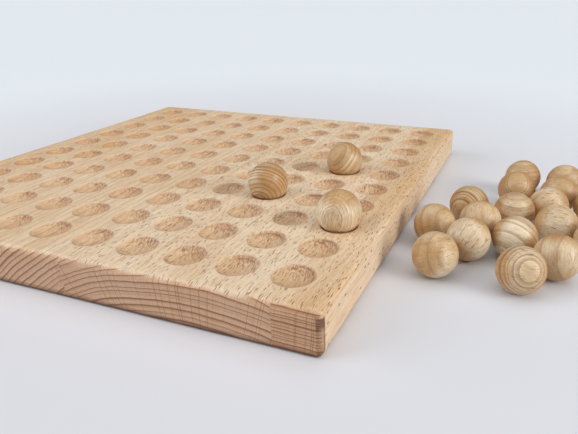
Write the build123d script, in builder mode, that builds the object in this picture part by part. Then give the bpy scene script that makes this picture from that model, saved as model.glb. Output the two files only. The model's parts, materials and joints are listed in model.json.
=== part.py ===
"""A beech ball board: a square board glued up from four staves, with a ten by ten grid of ball seats
sunk in its top, and the wooden balls that are played on it. Three balls sit in seats and the others lie
beside the board. Millimetres, +Z up, the origin at the centre of the board's underside.
"""

from build123d import *
import os

# The balls are the stock size that everything else follows.
BALL_DIAMETER = 20.0

# The seats: a square grid of shallow hollows, cut with a sphere a little larger than a ball.
SEATS_PER_SIDE = 10
SEAT_PITCH = 23.5
SEAT_MOUTH_RADIUS = 8.6
SEAT_CUTTER_RADIUS = 11.5
SEAT_CLEARANCE = 0.1  # between a seated ball and the bottom of its seat

# The board.
BOARD_THICKNESS = 19.0
EDGE_MARGIN = 19.25  # from the outer seats' centres to the board's edge
CORNER_RADIUS = 3.2
TOP_ROUND = 3.0
SIDE_BOTTOM_ROUND = 3.8  # along the grain, on the left and right
END_BOTTOM_ROUND = 1.6  # across the grain, at the front and back

# The glue joints run from front to back, each through the middle of a column of seats. The right-hand
# stave is as wide as the margin, and each of the two centre staves is as wide as four seats.
SEATS_ACROSS_CENTRE_STAVE = 4

# Seats that hold a ball, as (column from the left, row from the front), counted from 1.
FILLED_SEATS = [(8, 4), (9, 6), (10, 3)]

# Where each loose ball touches the table, as (X, Y), in one layer to the right of the board.
LOOSE_BALL_PLACES = [
    (148.0, -55.0),
    (141.5, -24.0),
    (159.0, -35.0),
    (153.5, 6.0),
    (161.5, -13.0),
    (178.5, -26.5),
    (183.0, -56.5),
    (196.5, -40.0),
    (196.0, -6.0),
    (176.0, 4.0),
    (175.0, 38.0),
    (177.0, 60.0),
    (192.0, 17.0),
    (197.0, 37.0),
    (200.0, 59.0),
    (214.0, 24.0),
    (213.0, -18.0),
]

ball_radius = BALL_DIAMETER / 2
outer_seat = SEAT_PITCH * (SEATS_PER_SIDE - 1) / 2
board_side = 2 * (outer_seat + EDGE_MARGIN)
board_edge = board_side / 2
cutter_rise = (SEAT_CUTTER_RADIUS**2 - SEAT_MOUTH_RADIUS**2) ** 0.5
seat_depth = SEAT_CUTTER_RADIUS - cutter_rise
cutter_height = BOARD_THICKNESS + cutter_rise
seated_height = BOARD_THICKNESS - seat_depth + SEAT_CLEARANCE + ball_radius

os.makedirs("parts", exist_ok=True)

# The whole board as it leaves the workshop: glued up, shaped, then bored. Its shape is what three outlines
# have in common: the plan, the outline seen from the front, and the outline seen from the side.
with BuildPart() as board:
    with BuildSketch(Plane.XY):
        RectangleRounded(board_side, board_side, CORNER_RADIUS)
    extrude(amount=BOARD_THICKNESS)
    for plane, bottom_round in ((Plane.XZ, SIDE_BOTTOM_ROUND), (Plane.YZ, END_BOTTOM_ROUND)):
        with BuildSketch(plane) as outline:
            Rectangle(board_side, BOARD_THICKNESS, align=(Align.CENTER, Align.MIN))
            fillet(outline.vertices().group_by(Axis.Y)[-1], TOP_ROUND)
            fillet(outline.vertices().group_by(Axis.Y)[0], bottom_round)
        extrude(amount=board_edge, both=True, mode=Mode.INTERSECT)
    with Locations(Plane.XY.offset(cutter_height)):
        with GridLocations(SEAT_PITCH, SEAT_PITCH, SEATS_PER_SIDE, SEATS_PER_SIDE):
            Sphere(SEAT_CUTTER_RADIUS, mode=Mode.SUBTRACT)

# Each stave is the stretch of that board between two glue joints, so the joints halve the seats on them.
right_joint = outer_seat
centre_joint = right_joint - SEATS_ACROSS_CENTRE_STAVE * SEAT_PITCH
left_joint = centre_joint - SEATS_ACROSS_CENTRE_STAVE * SEAT_PITCH
staves = {
    "left_stave": (-board_edge, left_joint),
    "left_centre_stave": (left_joint, centre_joint),
    "right_centre_stave": (centre_joint, right_joint),
    "right_stave": (right_joint, board_edge),
}
for name, (left, right) in staves.items():
    with BuildPart() as stave:
        add(board.part)
        with BuildSketch(Plane.XY):
            with Locations(((left + right) / 2, 0)):
                Rectangle(right - left, board_side)
        extrude(amount=BOARD_THICKNESS, mode=Mode.INTERSECT)
    stave.part.label = name
    export_step(stave.part, f"parts/{name}.step")

# The balls all have one size. A seated ball stands on the bottom of its hollow, clear of the mouth.
ball_centres = {}
for number, (column, row) in enumerate(FILLED_SEATS, start=1):
    x = (column - 1) * SEAT_PITCH - outer_seat
    y = (row - 1) * SEAT_PITCH - outer_seat
    ball_centres[f"seated_ball_{number}"] = (x, y, seated_height)
for number, (x, y) in enumerate(LOOSE_BALL_PLACES, start=1):
    ball_centres[f"loose_ball_{number:02d}"] = (x, y, ball_radius)

for name, centre in ball_centres.items():
    with BuildPart() as ball:
        with Locations(centre):
            Sphere(ball_radius)
    ball.part.label = name
    export_step(ball.part, f"parts/{name}.step")
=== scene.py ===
"""A beech ball board and its balls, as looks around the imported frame.

Each stave and each ball is rebuilt as a finer mesh in the place of its CAD node, and every piece is cut
from a log: a point attribute holds where each vertex was in its log, so that growth rings, rays and
end grain meet correctly on every face, in every seat and round every ball. Metres, in the row's frame;
places in a log are in millimetres.
"""

import json
import math

import bmesh
import bpy
import numpy as np
from mathutils import Matrix, Vector, noise


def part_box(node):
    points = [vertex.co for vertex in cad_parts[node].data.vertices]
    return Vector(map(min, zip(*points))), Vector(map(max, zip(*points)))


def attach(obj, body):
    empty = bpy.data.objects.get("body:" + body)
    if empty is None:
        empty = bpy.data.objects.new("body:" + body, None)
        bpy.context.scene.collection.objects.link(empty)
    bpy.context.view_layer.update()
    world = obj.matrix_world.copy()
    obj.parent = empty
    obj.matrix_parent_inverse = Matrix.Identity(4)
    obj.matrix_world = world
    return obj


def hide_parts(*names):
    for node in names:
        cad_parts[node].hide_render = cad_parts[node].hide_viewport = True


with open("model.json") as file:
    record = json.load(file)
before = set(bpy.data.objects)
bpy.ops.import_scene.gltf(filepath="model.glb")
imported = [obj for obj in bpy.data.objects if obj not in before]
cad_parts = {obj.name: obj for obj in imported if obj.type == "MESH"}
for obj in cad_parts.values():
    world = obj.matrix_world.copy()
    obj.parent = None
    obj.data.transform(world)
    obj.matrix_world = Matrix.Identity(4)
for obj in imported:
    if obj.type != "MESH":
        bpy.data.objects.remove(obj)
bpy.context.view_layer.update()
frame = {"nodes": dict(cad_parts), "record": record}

MM = 0.001

# ---------------------------------------------------------------- the board's sizes, from the frame

STAVES = ("left_stave", "left_centre_stave", "right_centre_stave", "right_stave")
BALLS = sorted(name for name in frame["nodes"] if name not in STAVES)

stave_boxes = {name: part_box(name) for name in STAVES}
board_edge = stave_boxes["right_stave"][1].x
board_top = stave_boxes["right_stave"][1].z

seat_mount = next(m for m in frame["record"]["mounts"] if m["name"] == "ball_seat")
seat_radius = seat_mount["dims"]["r_mm"] * MM
seat_bottom = seat_mount["pos_m"][2]
pitch = 2 * abs(seat_mount["pos_m"][0])
seats_per_side = round((2 * board_edge) / pitch - 0.5)
outer_seat = pitch * (seats_per_side - 1) / 2
seat_rise = seat_bottom + seat_radius - board_top
mouth_radius = math.sqrt(seat_radius**2 - seat_rise**2)

# Rounded edges of the board, near those of the CAD model, and the softened edge of each seat's mouth.
TOP_ROUND = 3.0 * MM
SIDE_BOTTOM_ROUND = 3.8 * MM
END_BOTTOM_ROUND = 1.6 * MM
CORNER_RADIUS = 3.0 * MM
MOUTH_ROUND = 0.22 * MM

# ---------------------------------------------------------------- mesh helpers


def new_piece(name, bm, body, node):
    """Turns bm into a smooth-shaded piece that stands for a CAD node and rides on its body."""
    mesh = bpy.data.meshes.new(name)
    bm.to_mesh(mesh)
    bm.free()
    mesh.polygons.foreach_set("use_smooth", np.ones(len(mesh.polygons), bool))
    mesh.set_sharp_from_angle(angle=math.radians(60))
    piece = bpy.data.objects.new(name, mesh)
    bpy.context.scene.collection.objects.link(piece)
    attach(piece, body)
    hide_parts(node)
    return piece


def points_of(mesh):
    flat = np.zeros(3 * len(mesh.vertices), np.float32)
    mesh.vertices.foreach_get("co", flat)
    return flat.reshape(-1, 3).astype(float)


def places_of(mesh):
    flat = np.zeros(3 * len(mesh.vertices), np.float32)
    mesh.attributes["log_place"].data.foreach_get("vector", flat)
    return flat.reshape(-1, 3)


def set_points(mesh, points):
    mesh.vertices.foreach_set("co", points.astype(np.float32).ravel())
    mesh.update()


def normals_of(mesh, hidden=None):
    """Each vertex's normal, from the faces round it that aren't hidden."""
    count = len(mesh.polygons)
    facing = np.zeros(3 * count, np.float32)
    areas = np.zeros(count, np.float32)
    sizes = np.zeros(count, np.int32)
    corners = np.zeros(len(mesh.loops), np.int32)
    mesh.polygons.foreach_get("normal", facing)
    mesh.polygons.foreach_get("area", areas)
    mesh.polygons.foreach_get("loop_total", sizes)
    mesh.loops.foreach_get("vertex_index", corners)
    facing = facing.reshape(-1, 3).astype(float)
    if hidden is not None:
        areas[hidden(face_centres(mesh))] *= 1e-6
    totals = np.zeros((len(mesh.vertices), 3))
    np.add.at(totals, corners, np.repeat(facing * areas[:, None], sizes, axis=0))
    return totals / np.maximum(np.linalg.norm(totals, axis=1), 1e-30)[:, None]


def face_centres(mesh):
    flat = np.zeros(3 * len(mesh.polygons), np.float32)
    mesh.polygons.foreach_get("center", flat)
    return flat.reshape(-1, 3)


def store(mesh, name, values, kind="FLOAT"):
    """Writes one value for each vertex as a named attribute that the materials read."""
    layer = mesh.attributes.new(name, kind, "POINT")
    field = "vector" if kind == "FLOAT_VECTOR" else "value"
    layer.data.foreach_set(field, np.ascontiguousarray(values, np.float32).ravel())


def smooth_noise(points, size, seed=0.0):
    """Perlin noise at each point, about -1 to 1, whose lumps are size across."""
    shift = Vector((seed * 17.3, seed * -9.1, seed * 5.7))
    return np.array([noise.noise(Vector(p) / size + shift) for p in points])


def smooth_step(low, high, x):
    t = np.clip((x - low) / (high - low), 0, 1)
    return t * t * (3 - 2 * t)


# ---------------------------------------------------------------- where each piece grew


def log_axes(grain, growth):
    """Rows that turn a direction of the frame into the log's: across it, along its grain, outward from its
    pith."""
    along = Vector(grain).normalized()
    outward = Vector(growth)
    outward = (outward - along * outward.dot(along)).normalized()
    return np.array([along.cross(outward), along, outward])


def grow(mesh, normals, axes, centre, pith_distance=0.0, along=0.0):
    """Stores each vertex's place in its log, in millimetres, and how the surface there lies in the wood:
    1 in end_grain where it cuts straight across the grain, 1 in ring_facing where it follows a ring."""
    place = (points_of(mesh) - np.array(centre)) @ axes.T / MM
    place[:, 1] += along
    place[:, 2] += pith_distance
    turned = normals @ axes.T
    outward = place * (1, 0, 1) / np.hypot(place[:, 0], place[:, 2])[:, None]
    store(mesh, "log_place", place, "FLOAT_VECTOR")
    store(mesh, "end_grain", np.abs(turned[:, 1]))
    store(mesh, "ring_facing", np.abs((turned * outward).sum(axis=1)))


# How far apart, in millimetres along their logs, the pieces were cut, so that no two share a pattern.
STAVE_SPACING = 700.0
BALL_SPACING = 90.0

# ---------------------------------------------------------------- the staves

SPOKES = 48  # around each seat
QUARTER = SPOKES // 8  # spokes from a seat's axis to its cell's corner
HOLLOW_RINGS = 13
MOUTH_RINGS = 4
CELL_RINGS = 5
MARGIN_STEPS = 4
ROUND_STEPS = 8  # down the rounded top edge, down the flat side and round the foot, each
CORNER_STEPS = 16


def seat_profile():
    """(distance from the seat's axis, height) of each ring of vertices, from the bottom to the flat top."""
    steepest = math.asin(mouth_radius / seat_radius)
    tangent = MOUTH_ROUND * math.tan(steepest / 2)
    rings = []
    for k in range(1, HOLLOW_RINGS + 1):
        a = steepest * (k / HOLLOW_RINGS) * (1 - tangent / mouth_radius)
        rings.append((seat_radius * math.sin(a), seat_bottom + seat_radius * (1 - math.cos(a))))
    for k in range(MOUTH_RINGS + 1):
        a = steepest * (1 - k / MOUTH_RINGS)
        reach = mouth_radius + tangent - MOUTH_ROUND * math.sin(a)
        rings.append((reach, board_top - MOUTH_ROUND * (1 - math.cos(a))))
    return rings


def add_grid(bm, grid):
    """Faces between neighbouring points of a grid, given as rows of points."""
    rows = [[bm.verts.new(p) for p in row] for row in grid]
    for above, below in zip(rows, rows[1:]):
        for a, b, c, d in zip(above, above[1:], below[1:], below):
            bm.faces.new((a, b, c, d))
    return rows


def add_cell(bm, x, y, first, last):
    """One seat and the square of board round it, for the spokes from first to last."""
    spokes = [2 * math.pi * j / SPOKES for j in range(first, last + 1)]
    rings = seat_profile()
    grid = []
    for reach, height in rings:
        grid.append([(x + reach * math.cos(a), y + reach * math.sin(a), height) for a in spokes])
    brim = rings[-1][0]
    for k in range(1, CELL_RINGS + 1):
        share = k / CELL_RINGS
        row = []
        for a in spokes:
            square = pitch / 2 / max(abs(math.cos(a)), abs(math.sin(a)))
            reach = brim + (square - brim) * share
            row.append((x + reach * math.cos(a), y + reach * math.sin(a), board_top))
        grid.append(row)
    rows = add_grid(bm, grid)
    middle = bm.verts.new((x, y, seat_bottom))
    for a, b in zip(rows[0], rows[0][1:]):
        bm.faces.new((middle, a, b))


def cell_levels(centre, low=-1, high=1):
    """Where the spokes of a seat meet the side of its cell, from low to high half pitches."""
    angles = [2 * math.pi * j / SPOKES for j in range(low * QUARTER, high * QUARTER + 1)]
    return [centre + pitch / 2 * math.tan(a) for a in angles]


def steps(low, high, count):
    return [low + (high - low) * k / count for k in range(count + 1)]


def unique(levels):
    """The levels in order, each once."""
    kept = []
    for level in sorted(levels):
        if not kept or level - kept[-1] > 1e-7:
            kept.append(level)
    return kept


seat_places = [pitch * k - outer_seat for k in range(seats_per_side)]
cells_end = outer_seat + pitch / 2
flat_end = board_edge - TOP_ROUND
margin_steps = steps(cells_end, flat_end, MARGIN_STEPS)


def edge_profile(sideways):
    """(inset, height) down the board's edge, which has a rounder foot the more it faces sideways."""
    foot = END_BOTTOM_ROUND + (SIDE_BOTTOM_ROUND - END_BOTTOM_ROUND) * sideways**2
    profile = []
    quarter_turn = np.radians(np.linspace(0, 90, ROUND_STEPS + 1))
    for a in quarter_turn:
        profile.append((TOP_ROUND * (1 - math.sin(a)), board_top - TOP_ROUND * (1 - math.cos(a))))
    for height in steps(board_top - TOP_ROUND, foot, ROUND_STEPS)[1:]:
        profile.append((0.0, height))
    for a in quarter_turn[1:]:
        profile.append((foot * (1 - math.cos(a)), foot * (1 - math.sin(a))))
    return profile


def add_edge(bm, outline):
    """The rounded edge of the board along an outline of (point at the outer edge, outward direction)."""
    columns = []
    for x, y, nx, ny in outline:
        columns.append([(x - inset * nx, y - inset * ny, height) for inset, height in edge_profile(nx)])
    return add_grid(bm, list(zip(*columns)))[-1]


def corner(x_side, y_side, turn):
    """The outline round a corner of the board, from its front or back edge to its side edge, or back."""
    centre = board_edge - CORNER_RADIUS
    points = []
    for a in np.radians(np.linspace(0, 90, CORNER_STEPS + 1)):
        nx, ny = x_side * math.sin(a), y_side * math.cos(a)
        x, y = x_side * centre + nx * CORNER_RADIUS, y_side * centre + ny * CORNER_RADIUS
        points.append((x, y, nx, ny))
    return points if turn > 0 else points[::-1]


def build_stave(name):
    left, right = stave_boxes[name][0].x, stave_boxes[name][1].x
    at_left, at_right = left < -board_edge + MM, right > board_edge - MM
    bm = bmesh.new()
    across = []
    for x in seat_places:
        on_left, on_right = abs(x - left) < MM / 10, abs(x - right) < MM / 10
        if not (left < x < right or on_left or on_right):
            continue
        if on_left:
            first, last = -2 * QUARTER, 2 * QUARTER
        elif on_right:
            first, last = 2 * QUARTER, 6 * QUARTER
        else:
            first, last = 0, SPOKES
        across += cell_levels(x, 0 if on_left else -1, 0 if on_right else 1)
        for y in seat_places:
            add_cell(bm, x, y, first, last)
    along = unique(level for y in seat_places for level in cell_levels(y))
    across = unique(across)

    # The flat margins outside the cells, with their corners.
    x_low = [-x for x in margin_steps[::-1]] if at_left else []
    x_high = margin_steps if at_right else []
    for side in (-1, 1):
        ys = [side * y for y in margin_steps]
        add_grid(bm, [[(x, y, board_top) for x in unique(x_low + across + x_high)] for y in ys])
    for xs in filter(None, (x_low, x_high)):
        add_grid(bm, [[(x, y, board_top) for y in along] for x in xs])

    # The rounded edges: the front from left to right, and the back from right to left.
    flat_levels = unique([-x for x in margin_steps] * at_left + across + margin_steps * at_right)
    front = [(x, -board_edge, 0, -1) for x in flat_levels]
    back = [(x, board_edge, 0, 1) for x in flat_levels[::-1]]
    side_levels = unique([-y for y in margin_steps] + along + margin_steps)
    if at_right:
        side = [(board_edge, y, 1, 0) for y in side_levels]
        outlines = [front + corner(1, -1, 1) + side + corner(1, 1, -1) + back]
    elif at_left:
        side = [(-board_edge, y, -1, 0) for y in side_levels[::-1]]
        outlines = [back + corner(-1, 1, 1) + side + corner(-1, -1, -1) + front]
    else:
        outlines = [front, back]
    foot = [v for outline in outlines for v in add_edge(bm, outline)]
    bm.faces.new(foot)
    bmesh.ops.remove_doubles(bm, verts=bm.verts, dist=2e-6)
    bmesh.ops.dissolve_degenerate(bm, edges=bm.edges, dist=1e-6)

    # What is left open are the glued faces.
    rim = [e for e in bm.edges if e.is_boundary]
    bmesh.ops.holes_fill(bm, edges=rim, sides=0)
    big = [f for f in bm.faces if len(f.verts) > 4]
    bmesh.ops.triangulate(bm, faces=big)
    bmesh.ops.recalc_face_normals(bm, faces=bm.faces)
    return bm


# Where each stave's log had its pith, in millimetres in X and Z, how much its grain leans off the frame's Y,
# and its looks: the width of a year's ring in millimetres, how dark its rings and its rays are, and how
# tanned the whole stave is.
STAVE_WOOD = {
    "left_stave": dict(pith=(-190.0, -90.0), lean=0.012, ring=2.8, rings=1.05, rays=0.6, tan=0.54),
    "left_centre_stave": dict(pith=(296.0, -413.0), lean=-0.010, ring=2.3, rings=1.15, rays=0.35, tan=0.34),
    "right_centre_stave": dict(pith=(75.0, -112.0), lean=0.008, ring=2.5, rings=1.15, rays=1.0, tan=0.20),
    "right_stave": dict(pith=(104.0, -190.0), lean=0.015, ring=1.45, rings=1.45, rays=1.1, tan=0.58),
}


# How far sanding, cutting and torn grain move a stave's surface.
SANDED = 0.04 * MM
CUT = 0.05 * MM
TORN = 0.09 * MM
RAGGED = 0.05 * MM


def on_joint(places):
    """True on the faces that are glued to the next stave, which nothing shows."""
    joints = [stave_boxes[name][0].x for name in STAVES[1:]]
    return np.min(np.abs(places[:, :1] - np.array(joints)), axis=1) < 1e-6


def dress_stave(mesh, wood, number):
    """Works small flaws into a stave's surface, and stores what its material reads."""
    points = points_of(mesh)
    normals = normals_of(mesh, hidden=on_joint)
    distance = seat_distance(points)
    on_top = points[:, 2] > seat_bottom - 0.1 * MM
    inside = on_top * smooth_step(mouth_radius + 0.30 * MM, mouth_radius - 0.05 * MM, distance)
    brim = on_top * np.exp(-(((distance - mouth_radius) / (0.4 * MM)) ** 2))
    sanding = SANDED * (smooth_noise(points, 22 * MM, 1) - 1)
    cutting = CUT * smooth_noise(points, 2.6 * MM, 2) * inside
    across_grain = np.abs(normals[:, 1])
    torn = smooth_noise(points * (1, 0.45, 1), 0.75 * MM, 3) * (0.3 + across_grain) * inside
    ragged = smooth_noise(points * (1, 0.4, 1), 0.9 * MM, 4) * brim
    move = sanding + cutting + TORN * torn + RAGGED * (ragged - brim)
    move[points[:, 2] < 0.1 * MM] = 0  # the underside stays flat on the table
    set_points(mesh, points + normals * move[:, None])

    x, z = wood["pith"]
    axes = log_axes((wood["lean"], 1, 0), (0, 0, 1))
    grow(mesh, normals, axes, (x * MM, 0, z * MM), along=STAVE_SPACING * number)
    store(mesh, "bored", inside)
    store(mesh, "brim", brim)
    store(mesh, "corner_burn_and_foot_shade", corner_burn_and_foot_shade(points, normals))


def seat_distance(points):
    """How far each point is from the axis of its nearest seat."""
    nearest = np.clip(np.round((points[:, :2] + outer_seat) / pitch), 0, seats_per_side - 1)
    return np.linalg.norm(points[:, :2] - (nearest * pitch - outer_seat), axis=1)


def corner_burn_and_foot_shade(points, normals):
    """1 where the cutter has rubbed end grain dark on the board's upright corners, and painted shade along
    its foot, where it meets the table.
    """
    across, endwise = np.abs(normals[:, 0]), np.abs(normals[:, 1])
    uneven = smooth_noise(points, 2.5 * MM, 6)
    height = points[:, 2] + 0.8 * MM * uneven
    upright = smooth_step(board_top - 1.8 * MM, board_top - 2.6 * MM, height)
    rim = np.exp(-(((endwise - 0.36) / 0.12) ** 2))
    upper_part = smooth_step(11.5 * MM, 12.6 * MM, height)
    lowest_part = smooth_step(3.6 * MM, 2.0 * MM, height)
    scorched = 0.42 + 0.45 * upper_part + 0.5 * lowest_part
    corner_mark = smooth_step(0.10, 0.22, across) * smooth_step(0.14, 0.26, endwise) * upright
    # The foot is painted shade: its rounded underside darkened where the table's contact shadow falls.
    foot = smooth_step(2.2 * MM, 1.2 * MM, points[:, 2]) * smooth_step(0.02, 0.15, endwise)
    marks = np.maximum(corner_mark * (scorched + 0.45 * rim), foot)
    outside = np.abs(points[:, 1]) > board_edge - CORNER_RADIUS
    return outside * np.clip(marks * (1 + 0.25 * uneven), 0, 1)


# ---------------------------------------------------------------- the balls

# How each ball was cut from its log and how it lies: the direction of its grain and that of its growth, its
# distance from the pith and the width of a year's ring in millimetres, how dark its rings and its rays are,
# and how tanned the whole ball is.
BALL_WOOD = {
    "seated_ball_1": dict(grain=(0.70, -0.52, 0.49), growth=(0.13, 0.76, 0.63),
                          pith=24, ring=1.8, rings=1.2, rays=0.4, tan=0.60),
    "seated_ball_2": dict(grain=(0.47, 0.42, 0.77), growth=(0.24, 0.78, -0.58),
                          pith=20, ring=2.6, rings=0.7, rays=0.7, tan=0.70),
    "seated_ball_3": dict(grain=(0.12, -0.04, 0.99), growth=(-0.02, 1.0, 0.04),
                          pith=19.2, ring=1.3, rings=0.55, rays=0.8, tan=0.20),
    "loose_ball_01": dict(grain=(0.50, 0.86, -0.11), growth=(0.83, -0.44, 0.34),
                          pith=60, ring=5.0, rings=0.4, rays=0.6, tan=0.35),
    "loose_ball_02": dict(grain=(0.48, 0.86, 0.16), growth=(0.79, -0.50, 0.36),
                          pith=45, ring=4.4, rings=0.6, rays=0.5, tan=0.68),
    "loose_ball_03": dict(grain=(0.46, 0.64, 0.61), growth=(0.19, -0.75, 0.64),
                          pith=70, ring=5.0, rings=0.2, rays=0.85, tan=0.00),
    "loose_ball_04": dict(grain=(0.93, -0.31, -0.18), growth=(-0.34, -0.93, -0.13),
                          pith=35, ring=1.6, rings=1.5, rays=0.4, tan=1.0),
    "loose_ball_05": dict(grain=(-0.08, 0.7, 0.71), growth=(0.12, -0.7, 0.7),
                          pith=80, ring=4.0, rings=0.3, rays=0.4, tan=0.90),
    "loose_ball_06": dict(grain=(0.93, -0.23, -0.28), growth=(-0.36, -0.63, -0.69),
                          pith=45, ring=5.0, rings=0.8, rays=0.4, tan=0.12),
    "loose_ball_07": dict(grain=(0.94, 0.33, -0.11), growth=(0.34, -0.81, 0.47),
                          pith=90.1, ring=1.5, rings=1.0, rays=0.65, tan=0.30),
    "loose_ball_08": dict(grain=(-0.06, 0.53, 0.84), growth=(0.93, -0.28, 0.25),
                          pith=70, ring=7.0, rings=0.6, rays=0.6, tan=0.62),
    "loose_ball_09": dict(grain=(0.98, -0.06, -0.2), growth=(0.1, -0.7, 0.71),
                          pith=60, ring=4.4, rings=0.3, rays=0.9, tan=0.00),
    "loose_ball_10": dict(grain=(0.99, 0.13, 0.01), growth=(-0.01, 0.02, 1.0),
                          pith=55, ring=4.2, rings=0.6, rays=0.4, tan=0.62),
    "loose_ball_11": dict(grain=(0.99, 0.09, 0.07), growth=(0.01, -0.64, 0.77),
                          pith=20, ring=1.3, rings=0.8, rays=0.3, tan=0.70),
    "loose_ball_12": dict(grain=(0.96, -0.24, 0.14), growth=(0.02, 0.30, 0.95),
                          pith=40, ring=3.0, rings=0.5, rays=0.8, tan=0.9),
    "loose_ball_13": dict(grain=(0.9, 0.22, 0.38), growth=(-0.07, -0.78, 0.62),
                          pith=65, ring=4.6, rings=0.3, rays=0.9, tan=0.30),
    "loose_ball_14": dict(grain=(0.99, 0.13, 0.08), growth=(-0.02, -0.42, 0.91),
                          pith=45, ring=2.8, rings=0.5, rays=0.4, tan=1.00),
    "loose_ball_15": dict(grain=(0.98, -0.1, 0.2), growth=(-0.22, -0.37, 0.9),
                          pith=50, ring=3.0, rings=0.4, rays=0.5, tan=0.50),
    "loose_ball_16": dict(grain=(0.34, 0.41, 0.85), growth=(-0.72, -0.47, 0.52),
                          pith=50, ring=2.4, rings=0.6, rays=0.7, tan=0.7),
    "loose_ball_17": dict(grain=(0.63, -0.18, 0.76), growth=(-0.61, -0.71, 0.34),
                          pith=60, ring=3.0, rings=0.5, rays=0.8, tan=0.55),
}

DENTS = 5  # small tumbling marks on each ball
OUT_OF_ROUND = 0.045 * MM
SCAR_DEPTH = 0.05 * MM
PIT_DEPTH = 0.12 * MM


def build_ball(name):
    low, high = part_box(name)
    radius = (high.z - low.z) / 2
    centre = (low + high) / 2
    bm = bmesh.new()
    bmesh.ops.create_icosphere(bm, subdivisions=6, radius=radius)
    bmesh.ops.translate(bm, verts=bm.verts, vec=centre)
    return bm, centre, radius


def dress_ball(mesh, centre, radius, wood, number):
    """A turned and tumbled ball: a little out of round, with a parting mark at each end of its grain."""
    random = np.random.default_rng(100 + number)
    axes = log_axes(wood["grain"], wood["growth"])
    points = points_of(mesh)
    out = (points - np.array(centre)) / radius
    out /= np.linalg.norm(out, axis=1)[:, None]
    move = OUT_OF_ROUND * (smooth_noise(out, 1.1, number) - 1)
    for _ in range(DENTS):
        at = random.normal(size=3)
        at /= np.linalg.norm(at)
        reach = random.uniform(0.5, 1.3) * MM
        gone = np.linalg.norm(out - at, axis=1) * radius
        move -= random.uniform(0.02, 0.06) * MM * np.exp(-((gone / reach) ** 2))
    ends = np.abs(out @ axes[1])
    from_end = np.sqrt(np.clip(1 - ends**2, 0, 1)) * radius
    scar = smooth_step(1.4 * MM, 0.8 * MM, from_end)
    pit = np.exp(-((from_end / (0.35 * MM)) ** 2))
    move -= SCAR_DEPTH * scar + PIT_DEPTH * pit
    set_points(mesh, np.array(centre) + out * (radius + move)[:, None])
    grow(mesh, out, axes, centre, wood["pith"], along=BALL_SPACING * number)
    store(mesh, "pit", pit)
    store(mesh, "scar", scar)


# ---------------------------------------------------------------- materials


class Graph:
    """Builds a material's nodes, so that a material reads as formulas."""

    def __init__(self, name):
        self.material = bpy.data.materials.new(name)
        self.material.use_nodes = True
        self.tree = self.material.node_tree
        self.tree.nodes.clear()

    def node(self, kind, inputs=(), **settings):
        made = self.tree.nodes.new(kind)
        for key, value in settings.items():
            setattr(made, key, value)
        pairs = inputs.items() if isinstance(inputs, dict) else enumerate(inputs)
        for key, value in pairs:
            if isinstance(value, bpy.types.NodeSocket):
                self.tree.links.new(value, made.inputs[key])
            else:
                made.inputs[key].default_value = value
        return made

    def math(self, operation, *values, clamp=False):
        return self.node("ShaderNodeMath", values, operation=operation, use_clamp=clamp).outputs[0]

    def vector(self, operation, *values):
        made = self.node("ShaderNodeVectorMath", values, operation=operation)
        return made.outputs["Value" if operation == "LENGTH" else "Vector"]

    def value_of(self, name, kind="GEOMETRY", output="Fac"):
        return self.node("ShaderNodeAttribute", attribute_name=name, attribute_type=kind).outputs[output]

    def noise(self, place, detail=2.0, roughness=0.5, colour=False):
        inputs = {"Vector": place, "Scale": 1.0, "Detail": detail, "Roughness": roughness}
        return self.node("ShaderNodeTexNoise", inputs).outputs["Color" if colour else "Fac"]

    def wave(self, value, scale=1.0, detail=2.0):
        """Noise along one number."""
        inputs = {"W": value, "Scale": scale, "Detail": detail}
        return self.node("ShaderNodeTexNoise", inputs, noise_dimensions="1D").outputs["Fac"]

    def between(self, value, low, high, to_low=0.0, to_high=1.0):
        """A smooth step from to_low at low to to_high at high."""
        inputs = {"Value": value, "From Min": low, "From Max": high, "To Min": to_low, "To Max": to_high}
        return self.node("ShaderNodeMapRange", inputs, interpolation_type="SMOOTHSTEP").outputs["Result"]

    def mix(self, share, a, b, blend="MIX"):
        inputs = {"Factor": share, "A": a, "B": b}
        made = self.node("ShaderNodeMix", data_type="RGBA", blend_type=blend, clamp_factor=True)
        for socket in made.inputs:
            if socket.type == "RGBA" and socket.name in inputs or socket.identifier == "Factor_Float":
                value = inputs[socket.name]
                if isinstance(value, bpy.types.NodeSocket):
                    self.tree.links.new(value, socket)
                else:
                    socket.default_value = value
        return next(s for s in made.outputs if s.type == "RGBA")

    def finish(self, surface):
        self.node("ShaderNodeOutputMaterial", {"Surface": surface})
        return self.material


def colour(red, green, blue):
    """A colour given as it looks on a screen, 0 to 255, as the linear values that a shader takes."""
    def linear(v):
        v /= 255
        return v / 12.92 if v <= 0.04045 else ((v + 0.055) / 1.055) ** 2.4

    return (linear(red), linear(green), linear(blue), 1.0)


# Seat walls are tinted darker: partly the cut wood's own tone, partly painted shade in the hollows.
SEAT_WOOD_AND_SHADE_TINT = colour(231, 219, 206)
CORNER_BURN_AND_FOOT_SHADE_TINT = colour(98, 58, 38)
# Brown of the burn marks on the corners, also used as painted shade along the foot.
RELIEF_DEPTH = 0.10 * MM


def bent_place(g, place):
    """The place in a log that isn't round: its rings bend slowly, and waver a little."""
    slow = g.noise(g.vector("MULTIPLY", place, (1 / 38, 1 / 260, 1 / 38)), detail=1.0, colour=True)
    quick = g.noise(g.vector("MULTIPLY", place, (1 / 7, 1 / 45, 1 / 7)), detail=1.0, colour=True)
    bend = g.vector("MULTIPLY", g.vector("SUBTRACT", slow, (0.5, 0.5, 0.5)), (4.0, 0.0, 4.0))
    waver = g.vector("MULTIPLY", g.vector("SUBTRACT", quick, (0.5, 0.5, 0.5)), (0.6, 0.0, 0.6))
    return g.vector("ADD", g.vector("ADD", place, bend), waver)


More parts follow.
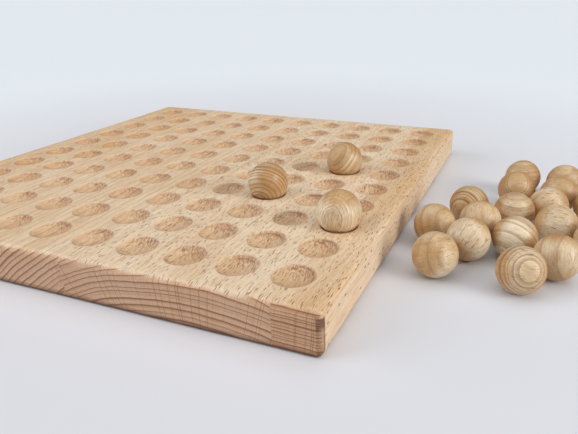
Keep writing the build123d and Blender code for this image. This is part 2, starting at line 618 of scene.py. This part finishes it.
def late_wood(g, from_pith, shade, line_start, line_strength, year_drift):
    """How dark the wood is for having grown late in its year. Some years are wide and some narrow, and each
    ends in a thin darker line."""
    years = g.math("DIVIDE", from_pith, g.value_of("ring", "OBJECT"))
    years = g.math("MULTIPLY_ADD", g.wave(years, scale=0.45), year_drift, years)
    season = g.math("FRACT", years)
    year = g.math("FLOOR", years)
    luck = g.node("ShaderNodeTexWhiteNoise", {"W": year}, noise_dimensions="1D").outputs["Value"]
    ending = g.between(season, 1.0, 0.93)
    line = g.math("MULTIPLY", g.between(season, line_start, 0.92), ending)
    line = g.math("MULTIPLY", line, line_strength)
    dark = g.math("MULTIPLY", g.math("MULTIPLY_ADD", luck, 0.50, 0.40), line)
    autumn = g.math("MULTIPLY", g.math("POWER", season, 1.6), ending)
    lateness = g.math("MULTIPLY_ADD", autumn, shade, dark)
    lateness = g.math("MULTIPLY", lateness, g.value_of("rings", "OBJECT"))
    hairlines = g.between(g.wave(from_pith, scale=1.4, detail=3.0), 0.50, 0.62)
    return g.math("MULTIPLY_ADD", hairlines, 0.13, lateness)


def cells(g, x, y):
    """How far each point is from the middle of its cell, and a number by chance for the cell, 0 to 1."""
    at = g.node("ShaderNodeCombineXYZ", [x, y, 0.0]).outputs[0]
    cell = g.node("ShaderNodeTexVoronoi", {"Vector": at, "Scale": 1.0}, voronoi_dimensions="2D").outputs
    return cell["Distance"], g.node("ShaderNodeSeparateColor", [cell["Color"]]).outputs[0]


def ray_ends(g, around, along, spacing, height, thick, least, seed):
    """Where a surface cuts through rays of one kind, which are sheets that run outward from the pith:
    spacing apart around it and height high along the grain. Cells with chances under least have none."""
    up_the_grain = g.math("MULTIPLY_ADD", along, 1 / height, seed)
    distance, chance = cells(g, g.math("DIVIDE", around, spacing), up_the_grain)
    body = g.between(distance, thick, thick * 0.65)
    return g.math("MULTIPLY", body, g.between(chance, least, least + 0.15))


def beech(name, pale, tanned, late, ray, end, gloss, specular, side_rings, shade, line_start,
          line_strength, year_drift, patchy):
    """Beech, from each vertex's place in its log and the object's own ring width and strengths."""
    g = Graph(name)
    place = g.value_of("log_place", output="Vector")
    end_grain = g.value_of("end_grain")
    ring_facing = g.value_of("ring_facing")
    bored = g.value_of("bored")

    bent = bent_place(g, place)
    parts = g.node("ShaderNodeSeparateXYZ", [bent]).outputs
    across, along, outward = parts["X"], parts["Y"], parts["Z"]
    from_pith = g.vector("LENGTH", g.node("ShaderNodeCombineXYZ", [across, 0.0, outward]).outputs[0])

    # Where the surface turns across the grain, end grain begins along an uneven line.
    unevenness = g.noise(g.vector("MULTIPLY", bent, (0.16, 0.02, 0.5)), detail=1.0)
    turn = g.math("ADD", end_grain, g.math("MULTIPLY_ADD", unevenness, 0.4, -0.2))
    cut_across = g.between(turn, 0.34, 0.88)

    # On the board the rings show on end grain, and hardly on the faces along the grain.
    lateness = late_wood(g, from_pith, shade, line_start, line_strength, year_drift)
    if side_rings < 1:
        follows = g.between(ring_facing, 0.80, 1.0, 1.0, 0.25)
        shown = g.math("MAXIMUM", g.math("MULTIPLY", follows, side_rings), cut_across)
        lateness = g.math("MULTIPLY", lateness, shown)

    # Rays are a few millimetres high along the grain, some of them broad and many fine.
    # A surface that runs along the sheets shows only faint scraps of them.
    around = g.math("MULTIPLY", g.math("ARCTAN2", across, outward), g.value_of("girth", "OBJECT"))
    wobble = g.noise(g.vector("MULTIPLY", place, (0.30, 0.09, 0.30)), detail=1.0)
    wobble = g.math("MULTIPLY", g.math("SUBTRACT", wobble, 0.5), g.between(end_grain, 0.3, 0.8, 2.0, 0.2))
    around = g.math("ADD", around, wobble)
    broad = ray_ends(g, around, along, spacing=0.40, height=3.4, thick=0.40, least=0.78, seed=0.0)
    fine = ray_ends(g, around, along, spacing=0.24, height=2.4, thick=0.34, least=0.55, seed=40.0)
    met = g.math("MAXIMUM", g.between(ring_facing, 0.15, 0.75, 0.06, 1.0), cut_across)
    met = g.math("MULTIPLY", g.value_of("rays", "OBJECT"), met)
    flecks = g.math("MULTIPLY", g.math("MULTIPLY_ADD", fine, 0.30, broad), met, clamp=True)

    # On a surface that runs outward from the pith a ray also shows here and there, as a small dark speck.
    distance, chance = cells(g, g.math("DIVIDE", outward, 3.4), g.math("DIVIDE", along, 7.0))
    specks = g.math("MULTIPLY", g.between(distance, 0.17, 0.10), g.between(chance, 0.45, 0.60))
    hidden = g.math("MAXIMUM", g.math("MAXIMUM", ring_facing, end_grain), bored)
    specks = g.math("MULTIPLY", specks, g.between(hidden, 0.45, 0.25))
    flecks = g.math("MAXIMUM", flecks, g.math("MULTIPLY", specks, 0.8))

    # Fibres and pores, long along the grain, and slow streaks and patches of warmer wood.
    fibres = g.noise(g.vector("MULTIPLY", bent, (1.9, 0.08, 1.9)), detail=3.0, roughness=0.65)
    fibres = g.between(fibres, 0.40, 0.76)
    pores = g.noise(g.vector("MULTIPLY", bent, (6.0, 0.7, 6.0)), detail=1.0)
    pores = g.between(pores, 0.58, 0.75)
    streaks = g.noise(g.vector("MULTIPLY", bent, (0.38, 1 / 70, 0.38)), detail=2.0)
    streaks = g.between(streaks, 0.3, 0.7, -0.14, 0.14)
    patches = g.noise(g.vector("MULTIPLY", place, (1 / 22, 1 / 60, 1 / 22)), detail=2.0)
    patches = g.math("ADD", g.between(patches, 0.3, 0.7, -patchy, patchy), streaks)
    warmth = g.math("ADD", g.value_of("tan", "OBJECT"), g.math("MULTIPLY_ADD", ring_facing, 0.25, -0.12))
    warmth = g.math("ADD", warmth, patches, clamp=True)
    warmth = g.math("MULTIPLY", warmth, g.math("MULTIPLY_ADD", cut_across, -0.4, 1.0))

    # In a seat the cutter tears the end grain: some fibres stand up in pale tufts, and others are pulled out.
    torn = g.noise(g.vector("MULTIPLY", place, (1.6, 0.45, 1.6)), detail=2.0)
    cut_badly = g.math("MULTIPLY", bored, end_grain)
    tufts = g.math("MULTIPLY", g.between(torn, 0.46, 0.36), cut_badly)
    torn = g.math("MULTIPLY", g.between(torn, 0.50, 0.62), cut_badly)

    wood = g.mix(warmth, pale, tanned)
    wood = g.mix(g.math("MULTIPLY", fibres, 0.38), wood, late)
    wood = g.mix(cut_across, wood, end, blend="MULTIPLY")
    wood = g.mix(g.math("MULTIPLY", lateness, 0.90, clamp=True), wood, late)
    # Seats darker: the cut wood's tone and painted shade in the hollow.
    wood = g.mix(bored, wood, SEAT_WOOD_AND_SHADE_TINT, blend="MULTIPLY")
    wood = g.mix(g.math("MULTIPLY", tufts, 0.55), wood, pale)
    wood = g.mix(g.math("MULTIPLY", torn, 0.90), wood, late)
    wood = g.mix(g.math("MULTIPLY", flecks, g.math("MULTIPLY_ADD", cut_across, -0.30, 0.95)), wood, ray)
    wood = g.mix(g.math("MULTIPLY", pores, 0.16), wood, ray)
    # Each seat's rim is painted paler: partly pale raised fibres, partly a painted highlight along the edge.
    brim_fibres_and_highlight = g.math("MULTIPLY", g.value_of("brim"), g.math("MULTIPLY_ADD", fibres, 0.4, 0.3))
    wood = g.mix(brim_fibres_and_highlight, wood, pale)
    # Burn marks on the upright corners, and painted shade along the board's foot.
    wood = g.mix(g.math("MULTIPLY", g.value_of("corner_burn_and_foot_shade"), 0.90, clamp=True), wood, CORNER_BURN_AND_FOOT_SHADE_TINT)
    wood = g.mix(g.math("MULTIPLY", g.value_of("scar"), 0.22), wood, pale)
    wood = g.mix(g.math("MULTIPLY", g.value_of("pit"), 0.85), wood, ray)

    roughness = g.math("MULTIPLY_ADD", fibres, 0.12, gloss)
    roughness = g.math("MULTIPLY_ADD", cut_across, 0.10, roughness)
    roughness = g.math("MULTIPLY_ADD", bored, 0.08, roughness, clamp=True)
    relief = g.math("MULTIPLY_ADD", lateness, 0.45, g.math("MULTIPLY", fibres, 0.30))
    for mark, height in ((flecks, -0.10), (torn, -0.60), (tufts, 0.60), (pores, -0.35)):
        relief = g.math("MULTIPLY_ADD", mark, height, relief)
    bump = g.node("ShaderNodeBump", {"Strength": 0.7, "Distance": RELIEF_DEPTH, "Height": relief})
    shader = g.node("ShaderNodeBsdfPrincipled", {
        "Base Color": wood,
        "Roughness": roughness,
        "Specular IOR Level": specular,
        "Normal": bump.outputs[0],
    })
    return g.finish(shader.outputs[0])


board_beech = beech(
    "board_beech",
    pale=colour(251, 233, 206),
    tanned=colour(228, 190, 142),
    late=colour(152, 102, 66),
    ray=colour(128, 76, 38),
    end=colour(232, 209, 197),
    gloss=0.46,
    specular=0.30,
    side_rings=0.22,
    shade=0.35,
    line_start=0.64,
    line_strength=1.0,
    year_drift=1.7,
    patchy=0.16,
)
ball_beech = beech(
    "ball_beech",
    pale=colour(254, 238, 206),
    tanned=colour(214, 176, 124),
    late=colour(146, 102, 58),
    ray=colour(138, 90, 50),
    end=colour(220, 192, 158),
    gloss=0.36,
    specular=0.60,
    side_rings=1.0,
    shade=0.55,
    line_start=0.40,
    line_strength=0.40,
    year_drift=2.4,
    patchy=0.42,
)


def give_wood(piece, material, wood):
    """The material, and the object's own values that it reads."""
    piece.data.materials.append(material)
    for key in ("ring", "rings", "rays", "tan"):
        piece[key] = float(wood[key])
    piece["girth"] = float(np.hypot(*places_of(piece.data)[:, ::2].mean(axis=0)))


# ---------------------------------------------------------------- the pieces

for number, name in enumerate(STAVES, start=1):
    stave = new_piece(name + "_wood", build_stave(name), "board", name)
    dress_stave(stave.data, STAVE_WOOD[name], number)
    give_wood(stave, board_beech, STAVE_WOOD[name])

for number, name in enumerate(BALLS, start=1):
    bm, centre, radius = build_ball(name)
    ball = new_piece(name + "_wood", bm, name, name)
    dress_ball(ball.data, centre, radius, BALL_WOOD[name], number)
    give_wood(ball, ball_beech, BALL_WOOD[name])

# ---------------------------------------------------------------- floor, light and camera

# A plain pale floor with painted shade: its paint is greyer near the board and paler further out.
FLOOR_REACH = 9.0
FLOOR_NEAR, NEAR_SHADE_TONE = 0.1, colour(224, 225, 231)
FLOOR_FAR, FAR_LIGHT_TONE = 0.5, colour(236, 243, 250)

g = Graph("floor")
from_object = g.vector("LENGTH", g.node("ShaderNodeTexCoord").outputs["Object"])
# Painted shade near the board, fading to painted light further out.
paint = g.mix(g.between(from_object, FLOOR_NEAR, FLOOR_FAR), NEAR_SHADE_TONE, FAR_LIGHT_TONE)
shader = g.node("ShaderNodeBsdfPrincipled", {
    "Base Color": paint,
    "Roughness": 0.8,
    "Specular IOR Level": 0.05,
})
floor_paint = g.finish(shader.outputs[0])

bm = bmesh.new()
bmesh.ops.create_circle(bm, cap_ends=True, segments=96, radius=FLOOR_REACH)
floor_mesh = bpy.data.meshes.new("floor")
bm.to_mesh(floor_mesh)
bm.free()
floor_mesh.materials.append(floor_paint)
floor = bpy.data.objects.new("floor", floor_mesh)
bpy.context.scene.collection.objects.link(floor)

# How bright the studio's far walls look to the camera, past the floor's edge. They light the pieces far
# less, so the gaps between pieces stay dark.
WALL_SHOWN = 0.94
WALL_LIGHT = 0.03

world = bpy.data.worlds.new("studio")
bpy.context.scene.world = world
world.use_nodes = True
background = world.node_tree.nodes["Background"]
background.inputs["Color"].default_value = colour(235, 240, 244)
seen = world.node_tree.nodes.new("ShaderNodeLightPath").outputs["Is Camera Ray"]
level = world.node_tree.nodes.new("ShaderNodeMapRange")
level.inputs["To Min"].default_value = WALL_LIGHT
level.inputs["To Max"].default_value = WALL_SHOWN
world.node_tree.links.new(seen, level.inputs["Value"])
world.node_tree.links.new(level.outputs["Result"], background.inputs["Strength"])


def soft_light(name, azimuth, elevation, share, spread, tint):
    """Even light from a broad patch of the studio. Share is what it adds to a level surface's brightness,
    where a white one would be 1."""
    turn, rise = math.radians(azimuth), math.radians(elevation)
    towards = Vector((math.cos(turn) * math.cos(rise), math.sin(turn) * math.cos(rise), math.sin(rise)))
    lamp = bpy.data.lights.new(name, "SUN")
    lamp.energy = share * math.pi / math.sin(rise)
    lamp.angle = math.radians(spread)
    lamp.color = tint[:3]
    holder = bpy.data.objects.new(name, lamp)
    holder.rotation_euler = towards.to_track_quat("Z", "Y").to_euler()
    bpy.context.scene.collection.objects.link(holder)


soft_light("overhead", 0, 88, 0.50, 90, colour(254, 253, 253))
soft_light("right_window", -8, 24, 0.25, 34, colour(255, 253, 250))
soft_light("left_window", -155, 24, 0.175, 46, colour(252, 253, 255))

# The camera stands low at the front, to the right of the board's middle, and looks across it.
camera_data = bpy.data.cameras.new("camera")
camera_data.sensor_width = 36.0
camera_data.lens = 32.82
camera_data.shift_x = -0.080
camera_data.shift_y = 0.013
camera_data.clip_start, camera_data.clip_end = 0.01, 50.0
camera = bpy.data.objects.new("camera", camera_data)
camera.location = (0.1812, -0.2558, 0.1157)
forward = Vector((-0.3323, 0.8464, -0.4161))
roll = Matrix.Rotation(math.radians(-0.65), 4, "Z")
camera.rotation_euler = (forward.to_track_quat("-Z", "Y").to_matrix().to_4x4() @ roll).to_euler()
bpy.context.scene.collection.objects.link(camera)
bpy.context.scene.camera = camera
bpy.context.scene.view_settings.view_transform = "Standard"
